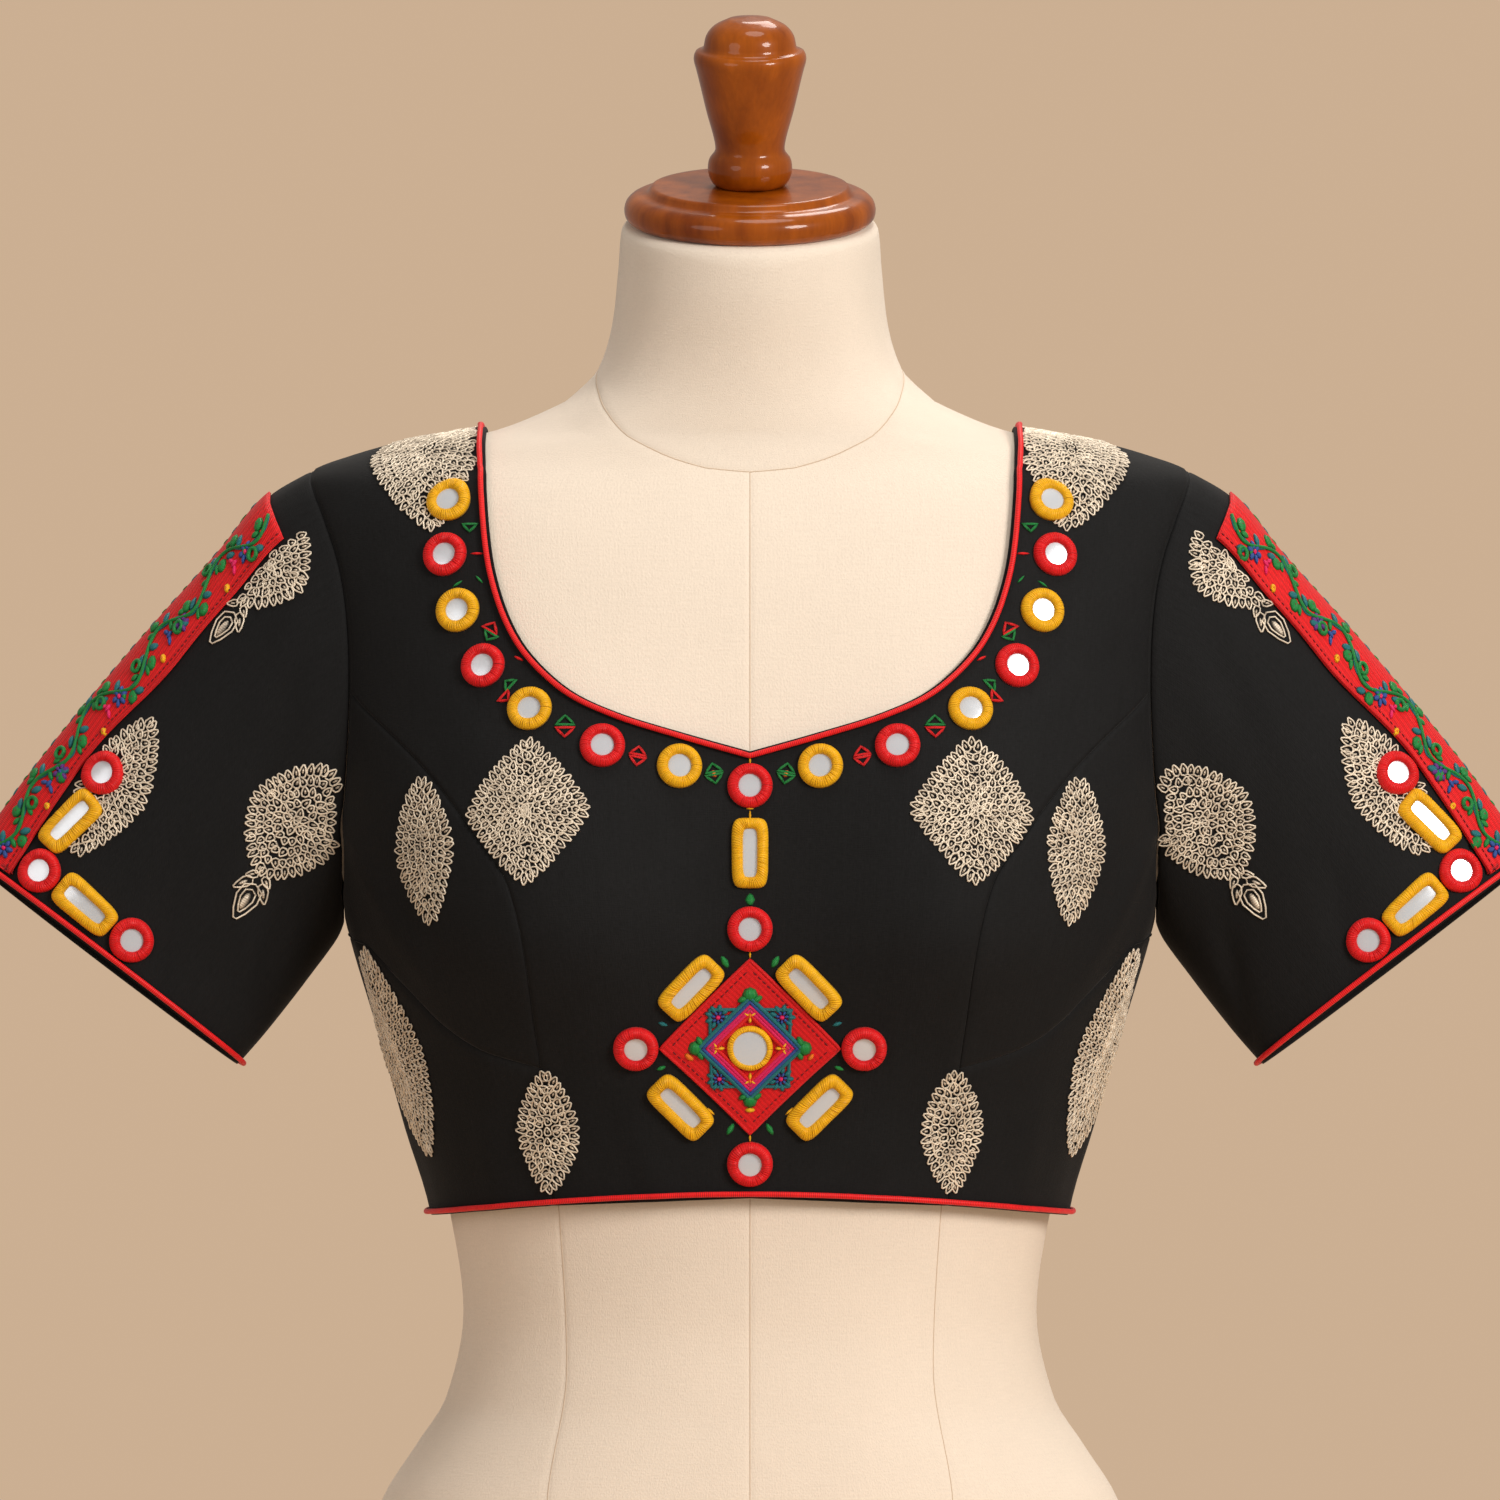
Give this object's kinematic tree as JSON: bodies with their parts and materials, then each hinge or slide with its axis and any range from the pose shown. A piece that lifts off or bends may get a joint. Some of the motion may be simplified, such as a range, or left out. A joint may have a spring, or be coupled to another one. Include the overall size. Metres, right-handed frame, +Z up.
{
  "type": "choli blouse on a limbless dress form",
  "caption": "Short embroidered choli blouse with mirror-work, piping and short sleeves, resting on a padded limbless dress form with a turned wooden neck plate and finial.",
  "frame": {"origin": "the centre of the dress form's flat base, on the surface that it stands on", "axes": "+Z up along the form; the front faces -Y; the wearer's left is +X"},
  "size_m": [0.6556, 0.2346, 0.7337],
  "materials": {
    "black_cloth": "matte fine plain weave, black",
    "red_piping": "satin red bias piping",
    "band_embroidery": "red ground with coloured vine embroidery",
    "diamond_embroidery": "red stitched fill with a coloured star",
    "mirror_red": "red satin-stitched ring round a small mirror",
    "mirror_yellow": "yellow satin-stitched frame round a small mirror",
    "mirror_glass": "small flat mirrors, polished",
    "zari_thread": "antique gold metallic cord embroidery",
    "form_canvas": "cream linen canvas, slubbed",
    "turned_wood": "polished orange-brown turned wood"
  },
  "bodies": {
    "root": {"back_left": "black_cloth", "back_right": "black_cloth", "cuff_piping_left": "red_piping", "cuff_piping_right": "red_piping", "cup_left": "black_cloth", "cup_right": "black_cloth", "diamond_patch": "diamond_embroidery", "form_finial": "turned_wood", "form_neck_plate": "turned_wood", "form_torso": "form_canvas", "front_centre": "black_cloth", "hem_piping": "red_piping", "mirror_bar_lower_left": "mirror_yellow", "mirror_bar_lower_right": "mirror_yellow", "mirror_bar_top": "mirror_yellow", "mirror_bar_upper_left": "mirror_yellow", "mirror_bar_upper_right": "mirror_yellow", "mirror_diamond_centre": "mirror_yellow", "mirror_neck_1_left": "mirror_yellow", "mirror_neck_1_right": "mirror_yellow", "mirror_neck_2_left": "mirror_red", "mirror_neck_2_right": "mirror_red", "mirror_neck_3_left": "mirror_yellow", "mirror_neck_3_right": "mirror_yellow", "mirror_neck_4_left": "mirror_red", "mirror_neck_4_right": "mirror_red", "mirror_neck_5_left": "mirror_yellow", "mirror_neck_5_right": "mirror_yellow", "mirror_neck_6_left": "mirror_red", "mirror_neck_6_right": "mirror_red", "mirror_neck_7_left": "mirror_yellow", "mirror_neck_7_right": "mirror_yellow", "mirror_neck_centre": "mirror_red", "mirror_ring_lower": "mirror_red", "mirror_ring_side_left": "mirror_red", "mirror_ring_side_right": "mirror_red", "mirror_ring_upper": "mirror_red", "neck_piping": "red_piping", "sleeve_band_left": "band_embroidery", "sleeve_band_right": "band_embroidery", "sleeve_bar_lower_left": "mirror_yellow", "sleeve_bar_lower_right": "mirror_yellow", "sleeve_bar_upper_left": "mirror_yellow", "sleeve_bar_upper_right": "mirror_yellow", "sleeve_left": "black_cloth", "sleeve_right": "black_cloth", "sleeve_ring_corner_left": "mirror_red", "sleeve_ring_corner_right": "mirror_red", "sleeve_ring_lower_left": "mirror_red", "sleeve_ring_lower_right": "mirror_red", "sleeve_ring_upper_left": "mirror_red", "sleeve_ring_upper_right": "mirror_red", "under_bust_left": "black_cloth", "under_bust_right": "black_cloth"}
  },
  "joints": []
}
